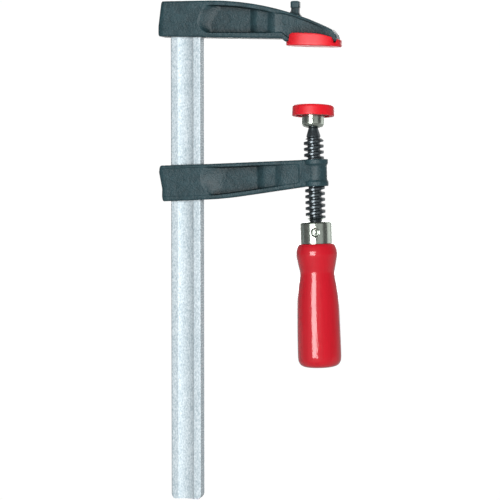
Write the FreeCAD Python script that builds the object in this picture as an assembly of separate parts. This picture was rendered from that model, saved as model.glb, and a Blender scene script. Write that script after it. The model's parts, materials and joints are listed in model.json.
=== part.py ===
import FreeCAD, Part
import math
import os

os.makedirs("parts", exist_ok=True)

# F clamp: a serrated steel rail, a cast fixed arm, a cast sliding arm, a screw with a swivel pad and a wooden
# handle, and two plastic caps. Millimetres. The origin is the point where the screw's axis meets the fixed
# jaw's clamping face. +Z runs up the rail towards the fixed arm, +X away from the rail, the front faces -Y.

V = FreeCAD.Vector

# Rail: a flat bar with a hollow ground along each wide face.
rail_x = -90.4
rail_width = 22.0
rail_thick = 11.0
rail_top = 33.0
rail_bottom = -325.5
rail_corner = 0.9
rail_end_chamfer = 1.8
groove_width = 11.8
groove_depth = 1.5
head_flare = 0.7
head_height = 1.4

# Fixed arm. Its underside and jaw lean in a little, and come square as the clamp is tightened.
arm_thick = 19.0
tip_thick = 16.6
jaw_lean = 1.9
fixed_back = -109.8
fixed_back_top = -107.5
fixed_top = rail_top
fixed_under = 8.0
spine_radius = 198.0
spine_start = -74.0
nose_x = 19.7
nose_round = 4.5
casting_round = 1.4
flange = 3.7
web_thick = 10.0
scoop_start = -80.0
scoop_end = -66.0
web_steps = (1.9, 3.4)
recess_low = 10.6
recess_corner = -74.0
fixed_taper = (-78.0, 4.0)
heel_x = -19.8
back_foot = 7.2
fixed_steps = (-42.6, -37.2, -29.8, -24.2)
fixed_recess_end = -19.0
lug_x = -11.2
lug_top = 32.0
lug_head = (6.2, 7.6, 5.0)
lug_neck = (5.4, 6.4)

# Jaw cap and the foot that it clips over.
cap_x = 2.2
cap_half_length = 19.7
cap_half_width = 13.0
cap_height = 8.7
cap_wall = 2.2
cap_face = 2.6
cap_power = 2.7
hook_x = 17.0
hook_thick = 2.7
hook_bottom = 2.8
foot_top = 4.4
foot_high = 6.4
rim_tip = 5.2
throat_gap = 1.2
throat_low = 3.4
nose_gap = 0.15
fit_gap = 0.1
bore_gap = 0.05

# Sliding arm, drawn square to the screw, then cocked on the rail.
cock_angle = 1.75
slide_back = -112.4
slide_top = -81.0
slide_low = -106.9
slide_bend = -66.0
boss_top = -79.9
boss_bottom = -99.1
boss_radius = 8.9
rim_radius = 9.8
rim_height = 3.1
slide_steps = (-40.4, -34.0, -27.0, -20.6, -10.0, -6.5)
slide_web_steps = (1.9, 3.0, 4.2)
slide_taper = (-82.0, -8.0)
slide_tip = -2.0
slide_rise = 0.8
slide_slope = 6.7
slide_scoop = (-81.4, -67.4)
slide_flange = 3.0
slot_x = -93.3
slot_width = 23.5
slot_thick = 11.8

# Screw
screw_pitch = 4.2
screw_crest = 7.1
screw_root = 4.5
ridge_base = 1.5       # half widths of the thread's ridge at its root and under its crown
ridge_top = 0.85
ridge_crown = 0.35
minor_bore = 5.4
thread_gap = 0.2
thread_start = -125.4
thread_low = -122.9
thread_high = -64.6
ball_z = -52.6
ball_radius = 4.6
neck_radius = 3.1
cone_radius = 5.1
cone_low = -63.7
tang_radius = 4.2
tang_end = -186.0

# Swivel pad, drawn about the ball's centre
pad_tip = 4.5
socket_gap = 0.2
cup_radius = 8.1
cup_bottom = -4.7
cup_round = 3.0
plate_radius = 12.8
plate_low = 4.3
plate_high = 8.4
pad_radius = 15.0
pad_low = 3.4
pad_high = 10.8
pad_round = 1.6
pad_lip = 0.7
ring_inner = 4.05
ring_outer = 5.7
ring_low = -3.5
ring_thick = 1.0
ring_mouth = 3.6
ring_play = 0.65
groove_radius = 6.15

# Handle, ferrule and cross pin
ferrule_top = -124.2
ferrule_low = -139.8
ferrule_radius = 11.3
ferrule_wall = 1.2
ferrule_round = 1.6
collar_gap = 0.15
handle_low = -228.0
grip_points = ((12.6, -140.3), (14.7, -147.2), (13.3, -154.5), (12.35, -161.0), (13.7, -170.0),
               (14.8, -181.0), (15.3, -200.0), (15.5, -219.0))    # radius and height, from neck to end
pin_z = -131.6
pin_radius = 2.1
pin_turn = 7.0
crater_radius = 3.4
crater_depth = 0.8


def line_wire(points):
    """Closed wire through points, with straight sides."""
    return Part.makePolygon(list(points) + [points[0]])


def prism(points, along):
    return Part.Face(line_wire(points)).extrude(along)


def turned(edges):
    """Solid of revolution about Z from edges that close a profile in the XZ plane."""
    return Part.Face(Part.Wire(edges)).revolve(V(0, 0, 0), V(0, 0, 1), 360)


def polyline(points):
    return [Part.LineSegment(a, b).toShape() for a, b in zip(points, points[1:]) if (a - b).Length > 1e-6]


def rod(radius, low, high):
    return Part.makeCylinder(radius, high - low, V(0, 0, low))


def round_off(shape, radius, wanted):
    """Fillet of the edges that a test picks."""
    return shape.makeFillet(radius, [e for e in shape.Edges if wanted(e)])


def on_faces(y):
    """Test for edges that lie wholly on the planes y and -y."""
    def test(edge):
        box = edge.BoundBox
        return box.YLength < 1e-6 and abs(abs(box.YMin) - y) < 1e-6
    return test


def cocked(shape):
    """Turned with the sliding arm, whose free end rides high on the rail."""
    shape.rotate(V(0, 0, 0), V(0, 1, 0), -cock_angle)
    return shape


def leaned(shape):
    shape.rotate(V(0, 0, 0), V(0, 1, 0), jaw_lean)
    return shape


def save(shape, node):
    shape = shape.removeSplitter()
    solid = shape.Solids[0] if len(shape.Solids) == 1 else shape
    if not solid.isValid() or len(shape.Solids) != 1:
        raise ValueError(node + " is not one valid solid")
    solid.exportStep("parts/" + node + ".step")
    print(node, "volume %.0f mm3" % solid.Volume, "size", solid.BoundBox)


def rail_section(grow):
    """Rail's outline at z = 0, grown by a gap: two flat edges, two hollow faces and four chamfers."""
    half_x = rail_width / 2 + grow
    half_y = rail_thick / 2 + grow
    corner = rail_corner
    hollow = groove_width / 2 - grow
    edges = []
    for side in (1, -1):
        a = V(-side * (half_x - corner), side * half_y, 0)
        b = V(-side * hollow, side * half_y, 0)
        deep = V(0, side * (half_y - groove_depth), 0)
        c = V(side * hollow, side * half_y, 0)
        d = V(side * (half_x - corner), side * half_y, 0)
        e = V(side * half_x, side * (half_y - corner), 0)
        f = V(side * half_x, -side * (half_y - corner), 0)
        g = V(side * (half_x - corner), -side * half_y, 0)
        edges += polyline([a, b]) + [Part.Arc(b, deep, c).toShape()] + polyline([c, d, e, f, g])
    wire = Part.Wire(Part.__sortEdges__(edges))
    wire.translate(V(rail_x, 0, 0))
    return Part.Face(wire)


def rail_head(grow):
    """Upset end of the rail, spread into a countersink at the top of the fixed arm."""
    def outline(spread, z):
        x = rail_width / 2 + spread
        y = rail_thick / 2 + spread
        left = rail_x - x
        right = rail_x + x
        return line_wire([V(left, -y, z), V(right, -y, z), V(right, y, z), V(left, y, z)])
    low = outline(grow - rail_corner * 0.3, rail_top - head_height)
    high = outline(head_flare + grow, rail_top)
    return Part.makeLoft([low, high], True)


def make_rail():
    bar = rail_section(0)
    bar.translate(V(0, 0, rail_bottom))
    bar = bar.extrude(V(0, 0, rail_top - rail_bottom))
    for side in (1, -1):
        edge = rail_x + side * rail_width / 2
        inside = edge - side * rail_end_chamfer
        outside = edge + side
        cut = [V(inside, -rail_thick, rail_bottom), V(outside, -rail_thick, rail_bottom),
               V(outside, -rail_thick, rail_bottom + rail_end_chamfer + 1.0)]
        bar = bar.cut(prism(cut, V(0, 2 * rail_thick, 0)))
    return bar.fuse(rail_head(0))


def spine_z(x):
    """Height of the fixed arm's arched back."""
    run = max(0.0, x - spine_start)
    return fixed_top - spine_radius + math.sqrt(spine_radius ** 2 - run ** 2)


def under_z(x):
    """Height of the fixed arm's underside, which leans with the jaw."""
    return fixed_under - (x - fixed_back) * math.tan(math.radians(jaw_lean - 0.3))


def fixed_blank():
    """Arm's side outline, extruded, with a blunt nose and its long edges rounded."""
    middle = (spine_start + nose_x) / 2
    tip = V(nose_x, 0, spine_z(nose_x))
    spine = Part.Arc(V(spine_start, 0, fixed_top), V(middle, 0, spine_z(middle)), tip)
    run = [tip, V(nose_x, 0, foot_top), V(heel_x, 0, under_z(heel_x)), V(fixed_back, 0, fixed_under),
           V(fixed_back, 0, fixed_under + back_foot), V(fixed_back_top, 0, fixed_top),
           V(spine_start, 0, fixed_top)]
    face = Part.Face(Part.Wire([spine.toShape()] + polyline(run)))
    face.translate(V(0, -arm_thick / 2, 0))
    blank = face.extrude(V(0, arm_thick, 0))

    def at_nose(edge):
        box = edge.BoundBox
        return box.YLength > 1 and box.Center.distanceToPoint(tip) < 1

    blank = round_off(blank, nose_round, at_nose)
    return round_off(blank, casting_round, on_faces(arm_thick / 2))


def recess(outline, floor, deep):
    """Pocket in each side of a casting: the outline's prism, down to a floor that is a line in plan."""
    top = arm_thick
    pocket = None
    for side in (1, -1):
        plan = [V(x, side * y, -deep) for x, y in floor]
        plan = [V(floor[0][0], side * top, -deep)] + plan + [V(floor[-1][0], side * top, -deep)]
        block = prism(plan, V(0, 0, 2 * deep)).common(outline)
        pocket = block if pocket is None else pocket.fuse(block)
    return pocket


def scoop(start, end, from_y, to_y, count=6):
    """Points of a floor that dives in a smooth curve from one depth to another."""
    points = []
    for i in range(count + 1):
        t = i / count
        ease = t * t * (3 - 2 * t)
        points.append((start + (end - start) * t, from_y + (to_y - from_y) * ease))
    return points


def fixed_recess():
    x1, x2, x3, x4 = fixed_steps
    web = web_thick / 2
    low = recess_low
    samples = [spine_start + (fixed_recess_end - spine_start) * i / 6 for i in range(7)]
    upper = [V(x, 0, spine_z(x) - flange) for x in samples]
    left = Part.Arc(V(recess_corner, 0, low), V(scoop_start, 0, (low + upper[0].z) / 2), upper[0]).toShape()
    top = Part.BSplineCurve()
    top.interpolate(upper)
    end = fixed_recess_end
    sides = polyline([upper[-1], V(end, 0, low - 1.4), V(recess_corner, 0, low)])
    face = Part.Face(Part.Wire([left, top.toShape()] + sides))
    face.translate(V(0, -arm_thick, 0))
    outline = face.extrude(V(0, 2 * arm_thick, 0))
    floor = scoop(scoop_start - 0.2, scoop_end, arm_thick / 2, web)
    first, second = web_steps
    floor += [(x1, web), (x2, web + first), (x3, web + first), (x4, web + second), (end, arm_thick / 2 - 0.6)]
    return recess(outline, floor, 60.0)


def side_taper(start, end, reach):
    """Wedges that thin a casting towards its tip, one on each side."""
    cut = (arm_thick - tip_thick) / 2
    wedges = None
    for side in (1, -1):
        y = side * arm_thick / 2
        plan = [V(start, y, -reach), V(end, y - side * cut, -reach), V(end + 40, y - side * cut, -reach),
                V(end + 40, y + side * 5, -reach), V(start, y + side * 5, -reach)]
        wedge = prism(plan, V(0, 0, 2 * reach))
        wedges = wedge if wedges is None else wedges.fuse(wedge)
    return wedges


def oval(inset, low, high):
    """Prism of the cap's plan, a superellipse, drawn in by an inset."""
    a = cap_half_length - inset
    b = cap_half_width - inset
    points = []
    steps = 32
    for i in range(steps):
        angle = 2 * math.pi * (i + 0.5) / steps
        c = math.cos(angle)
        s = math.sin(angle)
        x = math.copysign(abs(c) ** (2 / cap_power), c) * a
        y = math.copysign(abs(s) ** (2 / cap_power), s) * b
        points.append(V(cap_x + x, y, low))
    curve = Part.BSplineCurve()
    curve.interpolate(points, PeriodicFlag=True)
    return Part.Face(Part.Wire(curve.toShape())).extrude(V(0, 0, high - low))


def make_lug():
    """Square-headed lug cast on the back of the fixed arm."""
    wide, deep, tall = lug_head
    neck, neck_deep = lug_neck
    head = Part.makeBox(wide, deep, tall, V(lug_x - wide / 2, -deep / 2, lug_top - tall))
    head = round_off(head, 1.0, lambda e: True)
    root = spine_z(lug_x) - 1.5
    stem = [V(lug_x - neck / 2, 0, lug_top - 2), V(lug_x + neck / 2, 0, lug_top - 2),
            V(lug_x + neck / 2, 0, spine_z(lug_x) + 0.6), V(lug_x + neck / 2 + 2.6, 0, root - 0.6),
            V(lug_x - neck / 2 - 3.4, 0, root), V(lug_x - neck / 2, 0, spine_z(lug_x) + 2.2)]
    stem = prism(stem, V(0, neck_deep, 0))
    stem.translate(V(0, -neck_deep / 2, 0))
    return head.fuse(stem)


def make_fixed_arm():
    arm = fixed_blank().cut(side_taper(*fixed_taper, 60.0))
    arm = arm.cut(fixed_recess())
    foot = leaned(oval(cap_wall + fit_gap, cap_face + fit_gap, foot_high))
    beyond = Part.makeBox(10, 60, 30, V(hook_x, -30, -5))
    hook = Part.makeBox(hook_thick, tip_thick - 1, 3.5, V(hook_x, -(tip_thick - 1) / 2, hook_bottom))
    arm = arm.fuse(foot.cut(beyond)).fuse(hook).fuse(make_lug())
    hole = rail_section(bore_gap)
    hole.translate(V(0, 0, -5))
    return arm.cut(hole.extrude(V(0, 0, 60))).cut(rail_head(bore_gap))


def cap_rim():
    """Block above the cap's rim, which is low at the tip and rounded off at the heel."""
    left = cap_x - cap_half_length
    right = cap_x + cap_half_length
    crown = V(2.0, -30, cap_height)
    shoulder = V(left + 5, -30, cap_height)
    slope = Part.Arc(crown, V(11.5, -30, cap_height - 0.9), V(right - 3, -30, rim_tip)).toShape()
    heel = Part.Arc(V(left - 1, -30, 5.6), V(left + 1.2, -30, cap_height - 0.9), shoulder).toShape()
    rest = polyline([V(right - 3, -30, rim_tip), V(right + 2, -30, rim_tip), V(right + 2, -30, 20),
                     V(left - 1, -30, 20), V(left - 1, -30, 5.6)])
    line = polyline([shoulder, crown])
    return Part.Face(Part.Wire([heel] + line + [slope] + rest)).extrude(V(0, 60, 0))


def make_jaw_cap():
    cap = oval(0, 0, 12)
    cap = round_off(cap, 0.9, lambda e: abs(e.BoundBox.ZMax) < 1e-6)
    cap = cap.cut(oval(cap_wall, cap_face, 20)).cut(cap_rim())
    left = cap_x - cap_half_length
    throat = tip_thick + throat_gap
    cap = cap.cut(Part.makeBox(10, throat, 20, V(left - 2, -throat / 2, throat_low)))
    nose = tip_thick + 2 * nose_gap
    cap = cap.cut(Part.makeBox(2, nose, 20, V(hook_x - 2, -nose / 2, throat_low)))
    return leaned(cap.cut(Part.makeBox(hook_thick + 0.9, 40, 20, V(hook_x - 0.4, -20, hook_bottom - 0.5))))


def slide_bottom(x):
    """Height of the sliding arm's underside: level at the socket, then rising towards the boss."""
    if x < slide_bend:
        return slide_low + slide_rise * (x - slide_back) / (slide_bend - slide_back)
    return slide_low + slide_rise + (x - slide_bend) * math.tan(math.radians(slide_slope))


def slide_blank():
    tip = slide_tip
    points = [V(slide_back + 0.9, 0, slide_top), V(slide_back, 0, slide_top - 4.6),
              V(slide_back + 2.0, 0, slide_top - 17.0), V(slide_back + 1.7, 0, slide_top - 21.5),
              V(slide_back + 2.2, 0, slide_low), V(slide_bend, 0, slide_bottom(slide_bend)),
              V(tip, 0, slide_bottom(tip)), V(tip, 0, slide_top + 0.8)]
    face = Part.Face(line_wire(points))
    face.translate(V(0, -arm_thick / 2, 0))
    blank = face.extrude(V(0, arm_thick, 0))
    return round_off(blank, casting_round, on_faces(arm_thick / 2))


def slide_recess():
    x1, x2, x3, x4, x5, x6 = slide_steps
    web = web_thick / 2
    start, dived = slide_scoop
    end = slide_tip - 2
    points = [V(-76.0, 0, -103.6), V(-71.5, 0, -103.9), V(end, 0, slide_bottom(end) + slide_flange + 0.6),
              V(end, 0, slide_top + 0.8 - slide_flange), V(-76.0, 0, slide_top - 2.4)]
    left = Part.Arc(points[-1], V(start, 0, -92.0), points[0]).toShape()
    face = Part.Face(Part.Wire([left] + polyline(points)))
    face.translate(V(0, -arm_thick, 0))
    outline = face.extrude(V(0, 2 * arm_thick, 0))
    floor = scoop(start - 0.2, dived, arm_thick / 2, web)
    first, second, third = slide_web_steps
    floor += [(x1, web), (x2, web + first), (x3, web + first), (x4, web + second), (x5, web + second),
              (x6, web + third), (end, web + third)]
    return recess(outline, floor, 130.0)


def boss():
    """Threaded boss with a rim at each end."""
    low = boss_bottom + rim_height
    high = boss_top - rim_height
    slope = 1.4
    points = [V(0, 0, boss_bottom), V(rim_radius - 0.6, 0, boss_bottom), V(rim_radius, 0, boss_bottom + 0.6),
              V(rim_radius, 0, low), V(boss_radius, 0, low + slope), V(boss_radius, 0, high - slope),
              V(rim_radius, 0, high), V(rim_radius, 0, boss_top - 0.6), V(rim_radius - 0.6, 0, boss_top),
              V(0, 0, boss_top), V(0, 0, boss_bottom)]
    return turned(polyline(points))


def ridge(gap, low, turns):
    """Right-hand helical ridge of the screw, or with a gap the groove cut for it in the boss."""
    inner = screw_root - 0.3
    crest = screw_crest + gap
    base = ridge_base + gap
    top = ridge_top + gap
    flat = V(inner, 0, -base)
    lower = V(crest - ridge_crown, 0, -top)
    upper = V(crest - ridge_crown, 0, top)
    edges = polyline([V(inner, 0, base), flat, lower])
    edges += [Part.Arc(lower, V(crest, 0, 0), upper).toShape()] + polyline([upper, V(inner, 0, base)])
    profile = Part.Wire(edges)
    helix = Part.makeHelix(screw_pitch, turns * screw_pitch, screw_root)
    sweep = Part.Wire(helix.Edges).makePipeShell([profile], True, True)
    sweep.translate(V(0, 0, low))
    return sweep


def boss_thread():
    """Bore of the boss fused with its helical groove, in step with the screw."""
    turns = 7
    below = round((boss_bottom - thread_start) / screw_pitch - 1)
    groove = ridge(thread_gap, thread_start + below * screw_pitch, turns)
    return rod(minor_bore, boss_bottom - 2, boss_top + 2).fuse(groove)


def make_sliding_arm():
    arm = slide_blank().cut(side_taper(*slide_taper, 130.0))
    arm = arm.cut(slide_recess()).fuse(boss())
    arm = arm.cut(boss_thread())
    tall = slide_top - slide_low + 10
    corner = V(slot_x - slot_width / 2, -slot_thick / 2, slide_low - 5)
    slot = Part.makeBox(slot_width, slot_thick, tall, corner)
    return cocked(arm.cut(slot))


def make_spindle():
    """Screw: ball, neck, cone, thread and the plain tang that the handle is pinned to."""
    join = ball_z - math.sqrt(ball_radius ** 2 - neck_radius ** 2)
    tip = V(0, 0, ball_z + ball_radius)
    shoulder = V(neck_radius, 0, join)
    belly = V(ball_radius, 0, ball_z)
    outline = [shoulder, V(neck_radius, 0, join - 0.9), V(cone_radius, 0, cone_low),
               V(screw_root, 0, cone_low - 0.8),
               V(screw_root, 0, thread_low - 0.6), V(tang_radius, 0, thread_low - 1.2),
               V(tang_radius, 0, tang_end + 1), V(tang_radius - 1, 0, tang_end), V(0, 0, tang_end), tip]
    core = turned([Part.Arc(tip, belly, shoulder).toShape()] + polyline(outline))
    turns = (thread_high + 2 - thread_start) / screw_pitch
    spiral = ridge(0, thread_start, turns)
    fade = [V(0, 0, thread_low), V(screw_root, 0, thread_low), V(screw_crest + 1, 0, thread_low + 2.4),
            V(screw_crest + 1, 0, thread_high - 3.0), V(screw_root + 0.2, 0, thread_high),
            V(0, 0, thread_high), V(0, 0, thread_low)]
    spiral = spiral.common(turned(polyline(fade)))
    return cocked(core.fuse(spiral).cut(pin_hole(bore_gap)))


def pad_placed(shape):
    """Moved from the ball's centre to its place, and tipped over until it rests on its ring."""
    shape.rotate(V(0, 0, 0), V(1, 0, 0), -pad_tip)
    centre = FreeCAD.Rotation(V(0, 1, 0), -cock_angle).multVec(V(0, 0, ball_z))
    shape.translate(centre)
    return shape


def make_pad_cup():
    """Steel pad: a plate inside the cap and a turned cup round the ball."""
    r = cup_round
    diagonal = r * (1 - math.sqrt(0.5))
    a = V(cup_radius - r, 0, cup_bottom)
    b = V(cup_radius, 0, cup_bottom + r)
    bend = Part.Arc(a, V(cup_radius - diagonal, 0, cup_bottom + diagonal), b).toShape()
    points = [b, V(cup_radius, 0, plate_low), V(plate_radius, 0, plate_low), V(plate_radius, 0, plate_high),
              V(0, 0, plate_high), V(0, 0, cup_bottom), a]
    cup = turned([bend] + polyline(points))
    socket = ball_radius + socket_gap
    cup = cup.cut(Part.makeSphere(socket)).cut(rod(socket, cup_bottom - 1, 0))
    return pad_placed(cup.cut(rod(groove_radius, ring_low - ring_play, ring_low + ring_thick + ring_play)))


def make_pad_ring():
    """Open spring ring under the ball, which keeps the pad on the screw."""
    ring = rod(ring_outer, ring_low, ring_low + ring_thick).cut(rod(ring_inner, ring_low - 1, ring_low + 2))
    ring = ring.cut(Part.makeBox(10, ring_mouth, 4, V(0, -ring_mouth / 2, ring_low - 1)))
    ring.translate(V(0, 0, ball_z))
    return cocked(ring)


def make_pad_cap():
    """Plastic cap snapped over the pad's plate."""
    r = pad_round
    diagonal = r * (1 - math.sqrt(0.5))
    a = V(pad_radius - 0.3, 0, pad_high - r)
    b = V(pad_radius - 0.3 - r, 0, pad_high)
    bend = Part.Arc(a, V(a.x - diagonal, 0, pad_high - diagonal), b).toShape()
    room = plate_radius + fit_gap
    mouth = plate_radius - pad_lip
    points = [b, V(0, 0, pad_high), V(0, 0, plate_high + fit_gap), V(room, 0, plate_high + fit_gap),
              V(room, 0, plate_low - fit_gap), V(mouth, 0, plate_low - fit_gap - 0.4), V(mouth, 0, pad_low),
              V(pad_radius - 0.5, 0, pad_low), V(pad_radius, 0, pad_low + 0.5), a]
    return pad_placed(turned([bend] + polyline(points)))


def pin_hole(gap):
    """Cross pin, or with a gap the hole for it."""
    length = 2 * (ferrule_radius - 0.7) + 4 * gap
    hole = Part.makeCylinder(pin_radius + gap, length, V(0, -length / 2, pin_z), V(0, 1, 0))
    hole.rotate(V(0, 0, 0), V(0, 0, 1), pin_turn)
    return hole


def craters():
    """Dished seats where the ends of the cross pin are riveted over."""
    seats = None
    for side in (1, -1):
        beyond = 2.0
        mouth = V(0, side * (ferrule_radius + beyond), pin_z)
        wide = crater_radius + beyond * (crater_radius - pin_radius) / crater_depth
        seat = Part.makeCone(wide, pin_radius, crater_depth + beyond, mouth, V(0, -side, 0))
        seats = seat if seats is None else seats.fuse(seat)
    seats.rotate(V(0, 0, 0), V(0, 0, 1), pin_turn)
    return seats


def make_ferrule():
    """Metal cap over the head of the handle, with a collar that closes round the tang."""
    r = ferrule_round
    diagonal = r * (1 - math.sqrt(0.5))
    inner = ferrule_radius - ferrule_wall
    a = V(ferrule_radius, 0, ferrule_top - r)
    b = V(ferrule_radius - r, 0, ferrule_top)
    bend = Part.Arc(a, V(ferrule_radius - diagonal, 0, ferrule_top - diagonal), b).toShape()
    hole = tang_radius + collar_gap
    under = ferrule_top - ferrule_wall
    points = [b, V(hole, 0, ferrule_top), V(hole, 0, under), V(inner, 0, under), V(inner, 0, ferrule_low),
              V(ferrule_radius, 0, ferrule_low), a]
    return cocked(turned([bend] + polyline(points)).cut(pin_hole(bore_gap)).cut(craters()))


def make_handle():
    """Turned wooden handle: a ball under the ferrule, a waist, a full grip and a rounded end."""
    spigot = ferrule_radius - ferrule_wall - fit_gap
    side = Part.BSplineCurve()
    side.interpolate([V(r, 0, z) for r, z in grip_points])
    last = V(grip_points[-1][0], 0, grip_points[-1][1])
    end = V(8.6, 0, handle_low)
    tail = Part.Arc(last, V(14.0, 0, handle_low + 2.6), end).toShape()
    first = V(grip_points[0][0], 0, grip_points[0][1])
    neck_top = ferrule_top - ferrule_wall - fit_gap
    neck_low = ferrule_low - fit_gap
    points = [end, V(0, 0, handle_low), V(0, 0, neck_top), V(spigot, 0, neck_top), V(spigot, 0, neck_low),
              V(first.x, 0, neck_low), first]
    handle = turned([side.toShape(), tail] + polyline(points))
    bore = rod(tang_radius + bore_gap, tang_end - 1, ferrule_top + 1)
    return cocked(handle.cut(bore).cut(pin_hole(bore_gap)))


save(make_rail(), "rail")
save(make_fixed_arm(), "fixed_arm")
save(make_jaw_cap(), "jaw_cap")
save(make_sliding_arm(), "sliding_arm")
save(make_spindle(), "spindle")
save(make_pad_ring(), "pad_ring")
save(make_pad_cup(), "pad_cup")
save(make_pad_cap(), "pad_cap")
save(make_ferrule(), "ferrule")
save(cocked(pin_hole(0)), "ferrule_pin")
save(make_handle(), "handle")
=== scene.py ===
import json
import math
import bpy
import numpy as np
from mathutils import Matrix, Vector

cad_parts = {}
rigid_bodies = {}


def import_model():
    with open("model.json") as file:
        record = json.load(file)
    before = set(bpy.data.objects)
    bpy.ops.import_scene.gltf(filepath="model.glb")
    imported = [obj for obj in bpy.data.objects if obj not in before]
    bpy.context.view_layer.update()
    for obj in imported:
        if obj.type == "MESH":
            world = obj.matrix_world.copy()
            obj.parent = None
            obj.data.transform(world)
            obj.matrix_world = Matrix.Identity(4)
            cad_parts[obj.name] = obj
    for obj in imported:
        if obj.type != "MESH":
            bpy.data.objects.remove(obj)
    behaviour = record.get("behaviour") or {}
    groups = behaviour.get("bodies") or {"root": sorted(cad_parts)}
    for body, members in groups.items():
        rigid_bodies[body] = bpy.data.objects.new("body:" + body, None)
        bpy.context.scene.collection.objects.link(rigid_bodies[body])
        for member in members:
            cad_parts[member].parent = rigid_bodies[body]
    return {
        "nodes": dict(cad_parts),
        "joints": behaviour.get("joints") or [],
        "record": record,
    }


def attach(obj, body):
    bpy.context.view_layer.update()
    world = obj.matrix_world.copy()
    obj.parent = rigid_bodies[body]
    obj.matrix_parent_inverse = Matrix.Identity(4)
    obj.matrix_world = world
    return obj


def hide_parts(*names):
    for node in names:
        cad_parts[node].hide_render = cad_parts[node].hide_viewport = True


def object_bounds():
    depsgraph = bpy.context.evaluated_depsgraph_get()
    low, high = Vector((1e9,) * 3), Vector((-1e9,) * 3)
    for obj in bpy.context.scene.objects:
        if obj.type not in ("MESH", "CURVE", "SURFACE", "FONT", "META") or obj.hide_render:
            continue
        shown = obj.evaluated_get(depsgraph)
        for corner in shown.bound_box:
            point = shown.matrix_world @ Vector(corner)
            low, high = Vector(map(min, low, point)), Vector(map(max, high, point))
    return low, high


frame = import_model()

cadLow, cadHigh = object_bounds()
mm = 0.001
joints = {j["name"]: j for j in frame["joints"]}


def hexColour(code):  # sRGB hex to a linear colour
    srgb = np.array([int(code[i:i + 2], 16) for i in (0, 2, 4)]) / 255
    linear = np.where(srgb <= 0.04045, srgb / 12.92, ((srgb + 0.055) / 1.055) ** 2.4)
    return (*linear.tolist(), 1.0)


def addNode(tree, kind, settings=None, links=None):  # a node with its settings, values and links
    node = tree.nodes.new("ShaderNode" + kind)
    for key, value in (settings or {}).items():
        if isinstance(key, str) and hasattr(node, key):
            setattr(node, key, value)
        else:
            node.inputs[key].default_value = value
    for key, source in (links or {}).items():
        tree.links.new(source, node.inputs[key])
    return node


def newMaterial(name):
    material = bpy.data.materials.new(name)
    material.use_nodes = True
    tree = material.node_tree
    tree.nodes.clear()
    coords = addNode(tree, "TexCoord")
    return material, tree, coords.outputs["Object"]


def finishMaterial(tree, shader):
    addNode(tree, "OutputMaterial", links={"Surface": shader.outputs[0]})


def smooth(t):  # 0 to 1 with level ends: 3t^2 - 2t^3
    t = np.clip(t, 0, 1)
    return t * t * (3 - 2 * t)


def arc(cx, cz, radius, start, end, steps=7):  # points of a circular arc, angles in degrees
    a = np.radians(np.linspace(start, end, steps))
    return np.stack([cx + radius * np.cos(a), cz + radius * np.sin(a)], 1)


def rounded(points, radii, steps=6):  # an open outline whose inner corners become arcs of the given radii
    points = np.array(points, float)
    parts = [points[:1]]
    for before, corner, after, radius in zip(points, points[1:], points[2:], radii):
        into = (corner - before) / np.linalg.norm(corner - before)
        out = (after - corner) / np.linalg.norm(after - corner)
        turn = math.acos(np.clip(into @ out, -1, 1))
        if radius == 0 or turn < 1e-3:
            parts.append(corner[None])
            continue
        reach = radius * math.tan(turn / 2)
        t = np.linspace(0, 1, steps)[:, None]
        middle = corner + (out - into) / np.linalg.norm(out - into) * radius / math.cos(turn / 2)
        a = corner - into * reach - middle
        b = corner + out * reach - middle
        parts.append(middle + (np.sin((1 - t) * turn) * a + np.sin(t * turn) * b) / math.sin(turn))
    parts.append(points[-1:])
    return np.concatenate(parts)


def evenly(points, step):  # the same outline with no stretch longer than step
    spans = np.linalg.norm(np.diff(points, axis=0), axis=1)
    counts = np.maximum(1, np.ceil(spans / step)).astype(int)
    places = np.concatenate([i + np.arange(n) / n for i, n in enumerate(counts)] + [[len(points) - 1]])
    index = np.arange(len(points))
    return np.stack([np.interp(places, index, points[:, k]) for k in range(points.shape[1])], 1)


def throughPoints(points, count):  # Catmull-Rom curve through a few points
    p = np.array(points, float)
    p = np.concatenate([2 * p[:1] - p[1:2], p, 2 * p[-1:] - p[-2:-1]])
    t = np.linspace(0, len(points) - 1, count)
    i = np.minimum(t.astype(int), len(points) - 2)
    f = (t - i)[:, None]
    a, b, c, d = p[i], p[i + 1], p[i + 2], p[i + 3]
    return b + 0.5 * f * (c - a + f * (2 * a - 5 * b + 4 * c - d + f * (3 * (b - c) + d - a)))


def gridFaces(rows, cols, wrapRows):  # quads of a grid whose columns close into a loop
    i = np.arange(rows if wrapRows else rows - 1)[:, None]
    j = np.arange(cols)[None]
    k = (i + 1) % rows
    n = (j + 1) % cols
    return np.stack([i * cols + j, i * cols + n, k * cols + n, k * cols + j], -1).reshape(-1, 4)


def skinOf(grid, wrapRows=False, hole=None):  # vertices and faces of a grid; open ends close in fans
    rows, cols = grid.shape[:2]
    verts = grid.reshape(-1, 3)
    faces = gridFaces(rows, cols, wrapRows)
    if hole is not None:
        faces = faces[~hole(faces)]
    faces = faces.tolist()
    if not wrapRows:
        ring = np.arange(cols)
        for row, centre in ((0, len(verts)), (rows - 1, len(verts) + 1)):
            a = row * cols + ring
            b = row * cols + np.roll(ring, -1)
            pair = [b, a] if row == 0 else [a, b]
            faces += np.stack([*pair, np.full(cols, centre)], 1).tolist()
        verts = np.concatenate([verts, grid[:1].mean(1), grid[-1:].mean(1)])
    return verts, faces


def signedVolume(verts, faces):  # sum of the tetrahedra from the origin to each fan of a face
    total = 0.0
    for size in (3, 4):
        f = np.array([face for face in faces if len(face) == size])
        for k in range(1, size - 1):
            if len(f):
                across = np.cross(verts[f[:, k]], verts[f[:, k + 1]])
                total += np.einsum("ij,ij->i", verts[f[:, 0]], across).sum()
    return total


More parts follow.
